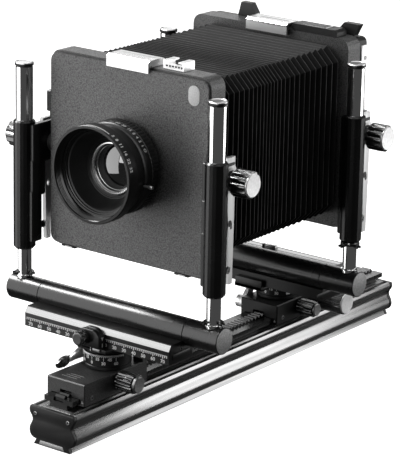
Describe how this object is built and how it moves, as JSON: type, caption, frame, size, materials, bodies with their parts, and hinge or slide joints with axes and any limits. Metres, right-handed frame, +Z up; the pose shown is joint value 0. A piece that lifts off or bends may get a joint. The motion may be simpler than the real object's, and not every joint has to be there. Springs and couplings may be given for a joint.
{
  "type": "view camera",
  "caption": "Monorail view camera: front and rear standards on sliding carriages, joined by pleated bellows, with lens and spring back.",
  "frame": {"origin": "centre of the rail's flat foot, where it stands", "axes": "+X to the right of someone facing the lens, +Y back along the rail from the lens to the ground glass, +Z up"},
  "size_m": [0.2528, 0.462, 0.3145],
  "materials": {
    "rail_aluminium": "satin extruded aluminium",
    "black_anodised": "black anodised aluminium",
    "black_paint": "satin black enamel on aluminium",
    "black_crinkle": "black crinkle paint on cast aluminium",
    "black_plastic": "matte black moulding",
    "chrome": "polished chrome plate",
    "satin_silver": "satin nickel plate",
    "rack_steel": "machined steel",
    "bellows_cloth": "black coated bellows cloth",
    "lens_glass": "coated optical glass",
    "ground_glass": "finely ground one face"
  },
  "bodies": {
    "rail": {"rail_extrusion": "rail_aluminium", "rail_front_cap": "black_plastic", "rail_rear_cap": "black_plastic", "rail_track": "black_anodised", "gear_rack": "rack_steel", "bellows": "bellows_cloth"},
    "front_carriage": {"front_carriage": "black_paint", "front_turret": "black_paint"},
    "front_swing": {"front_swing_head": "black_paint"},
    "front_shift": {"front_shift_bar": "black_anodised", "front_cross_tube": "black_anodised"},
    "front_base": {"front_tube_end_left": "black_anodised", "front_tube_end_right": "black_anodised", "front_rod_left": "chrome", "front_rod_right": "chrome"},
    "front_rise": {"front_sleeve_left": "black_paint", "front_sleeve_right": "black_paint", "front_post_left": "chrome", "front_post_right": "chrome", "front_bracket_left": "satin_silver", "front_bracket_right": "satin_silver"},
    "front_standard": {"front_frame": "black_crinkle", "lens_board": "black_crinkle", "accessory_shoe": "satin_silver", "lens_shutter": "black_paint", "lens_barrel": "black_paint", "lens_glass": "lens_glass"},
    "front_focus_knob": {"front_focus_knob": "black_paint"},
    "front_shift_knob": {"front_shift_knob": "black_paint"},
    "front_tilt_knob_left": {"front_tilt_knob_left": "black_paint"},
    "front_tilt_knob_right": {"front_tilt_knob_right": "black_paint"},
    "front_swing_lever": {"front_swing_lever": "satin_silver"},
    "front_lock": {"front_lock": "satin_silver"},
    "aperture_lever": {"aperture_lever": "satin_silver"},
    "rear_carriage": {"rear_carriage": "black_paint", "rear_turret": "black_paint"},
    "rear_swing": {"rear_swing_head": "black_paint"},
    "rear_shift": {"rear_shift_bar": "black_anodised", "rear_cross_tube": "black_anodised"},
    "rear_base": {"rear_tube_end_left": "black_anodised", "rear_tube_end_right": "black_anodised", "rear_rod_left": "chrome", "rear_rod_right": "chrome"},
    "rear_rise": {"rear_sleeve_left": "black_paint", "rear_sleeve_right": "black_paint", "rear_post_left": "chrome", "rear_post_right": "chrome", "rear_bracket_left": "satin_silver", "rear_bracket_right": "satin_silver"},
    "rear_standard": {"rear_frame": "black_crinkle", "rear_level": "black_paint"},
    "rear_focus_knob": {"rear_focus_knob": "black_paint"},
    "rear_shift_knob": {"rear_shift_knob": "black_paint"},
    "rear_tilt_knob_left": {"rear_tilt_knob_left": "black_paint"},
    "rear_tilt_knob_right": {"rear_tilt_knob_right": "black_paint"},
    "rear_clamp_knob": {"rear_clamp_knob": "black_paint"},
    "rear_clamp_lever": {"rear_clamp_lever": "satin_silver"},
    "rear_lock": {"rear_lock": "satin_silver"},
    "spring_back": {"spring_back": "black_paint", "ground_glass": "ground_glass"}
  },
  "joints": [
    {"name": "front_focus", "type": "slide", "parent": "rail", "child": "front_carriage", "axis": [0, 1, 0], "range_m": [-0.015, 0.045], "deforming": ["bellows"]},
    {"name": "front_focus_knob_turn", "type": "hinge", "parent": "front_carriage", "child": "front_focus_knob", "pos_m": [0, -0.1695, 0.047], "axis": [1, 0, 0], "continuous": true},
    {"name": "front_swing", "type": "hinge", "parent": "front_carriage", "child": "front_swing", "pos_m": [0, -0.1607, 0.06], "axis": [0, 0, 1], "range_deg": [-20, 20], "deforming": ["bellows"]},
    {"name": "front_shift", "type": "slide", "parent": "front_swing", "child": "front_shift", "axis": [1, 0, 0], "range_m": [-0.035, 0.035], "deforming": ["bellows"]},
    {"name": "front_shift_knob_turn", "type": "hinge", "parent": "front_swing", "child": "front_shift_knob", "pos_m": [-0.004, -0.1925, 0.083], "axis": [0, 1, 0], "range_deg": [-180, 180]},
    {"name": "front_base_tilt", "type": "hinge", "parent": "front_shift", "child": "front_base", "pos_m": [0, -0.15, 0.0957], "axis": [1, 0, 0], "range_deg": [-15, 15], "deforming": ["bellows"]},
    {"name": "front_rise", "type": "slide", "parent": "front_base", "child": "front_rise", "axis": [0, 0, 1], "range_m": [-0.015, 0.03], "deforming": ["bellows"]},
    {"name": "front_tilt", "type": "hinge", "parent": "front_rise", "child": "front_standard", "pos_m": [0, -0.1275, 0.2213], "axis": [1, 0, 0], "range_deg": [-15, 15], "deforming": ["bellows"]},
    {"name": "front_tilt_knob_left_turn", "type": "hinge", "parent": "front_standard", "child": "front_tilt_knob_left", "pos_m": [-0.1085, -0.1275, 0.2213], "axis": [1, 0, 0], "range_deg": [-180, 180]},
    {"name": "front_tilt_knob_right_turn", "type": "hinge", "parent": "front_standard", "child": "front_tilt_knob_right", "pos_m": [0.1085, -0.1275, 0.2213], "axis": [1, 0, 0], "range_deg": [-180, 180]},
    {"name": "front_swing_lever_turn", "type": "hinge", "parent": "front_carriage", "child": "front_swing_lever", "pos_m": [-0.023, -0.1635, 0.061], "axis": [1, 0, 0], "range_deg": [-10, 15]},
    {"name": "front_lock_slide", "type": "slide", "parent": "front_standard", "child": "front_lock", "axis": [1, 0, 0], "range_m": [-0.018, 0.006]},
    {"name": "aperture_turn", "type": "hinge", "parent": "front_standard", "child": "aperture_lever", "pos_m": [0, -0.1625, 0.2197], "axis": [0, 1, 0], "range_deg": [-25, 25]},
    {"name": "rear_focus", "type": "slide", "parent": "rail", "child": "rear_carriage", "axis": [0, 1, 0], "range_m": [-0.035, 0.095], "deforming": ["bellows"]},
    {"name": "rear_focus_knob_turn", "type": "hinge", "parent": "rear_carriage", "child": "rear_focus_knob", "pos_m": [0, 0.1135, 0.047], "axis": [1, 0, 0], "continuous": true},
    {"name": "rear_swing", "type": "hinge", "parent": "rear_carriage", "child": "rear_swing", "pos_m": [0, 0.0795, 0.06], "axis": [0, 0, 1], "range_deg": [-20, 20], "deforming": ["bellows"]},
    {"name": "rear_shift", "type": "slide", "parent": "rear_swing", "child": "rear_shift", "axis": [1, 0, 0], "range_m": [-0.035, 0.035], "deforming": ["bellows"]},
    {"name": "rear_shift_knob_turn", "type": "hinge", "parent": "rear_swing", "child": "rear_shift_knob", "pos_m": [-0.004, 0.0845, 0.083], "axis": [0, 1, 0], "range_deg": [-180, 180]},
    {"name": "rear_base_tilt", "type": "hinge", "parent": "rear_shift", "child": "rear_base", "pos_m": [0, 0.0415, 0.0957], "axis": [1, 0, 0], "range_deg": [-15, 15], "deforming": ["bellows"]},
    {"name": "rear_rise", "type": "slide", "parent": "rear_base", "child": "rear_rise", "axis": [0, 0, 1], "range_m": [0, 0.03], "deforming": ["bellows"]},
    {"name": "rear_tilt", "type": "hinge", "parent": "rear_rise", "child": "rear_standard", "pos_m": [0, 0.064, 0.2213], "axis": [1, 0, 0], "range_deg": [-15, 15], "deforming": ["bellows"]},
    {"name": "rear_tilt_knob_left_turn", "type": "hinge", "parent": "rear_standard", "child": "rear_tilt_knob_left", "pos_m": [-0.1085, 0.064, 0.2213], "axis": [1, 0, 0], "range_deg": [-180, 180]},
    {"name": "rear_tilt_knob_right_turn", "type": "hinge", "parent": "rear_standard", "child": "rear_tilt_knob_right", "pos_m": [0.1085, 0.064, 0.2213], "axis": [1, 0, 0], "range_deg": [-180, 180]},
    {"name": "rear_clamp_knob_turn", "type": "hinge", "parent": "rear_carriage", "child": "rear_clamp_knob", "pos_m": [0.03, 0.0835, 0.046], "axis": [1, 0, 0], "range_deg": [-180, 180]},
    {"name": "rear_clamp_lever_turn", "type": "hinge", "parent": "rear_carriage", "child": "rear_clamp_lever", "pos_m": [-0.023, 0.0605, 0.046], "axis": [1, 0, 0], "range_deg": [0, 60]},
    {"name": "rear_lock_slide", "type": "slide", "parent": "rear_standard", "child": "rear_lock", "axis": [1, 0, 0], "range_m": [-0.018, 0]},
    {"name": "spring_back_slide", "type": "slide", "parent": "rear_standard", "child": "spring_back", "axis": [0, 1, 0], "range_m": [0, 0.012], "stiffness_N_per_m": 1500, "springref_m": -0.006}
  ],
  "couplings": [
    {"joint": "front_focus_knob_turn", "follows": "front_focus", "rad_per_m": -285.71},
    {"joint": "rear_focus_knob_turn", "follows": "rear_focus", "rad_per_m": -285.71}
  ]
}
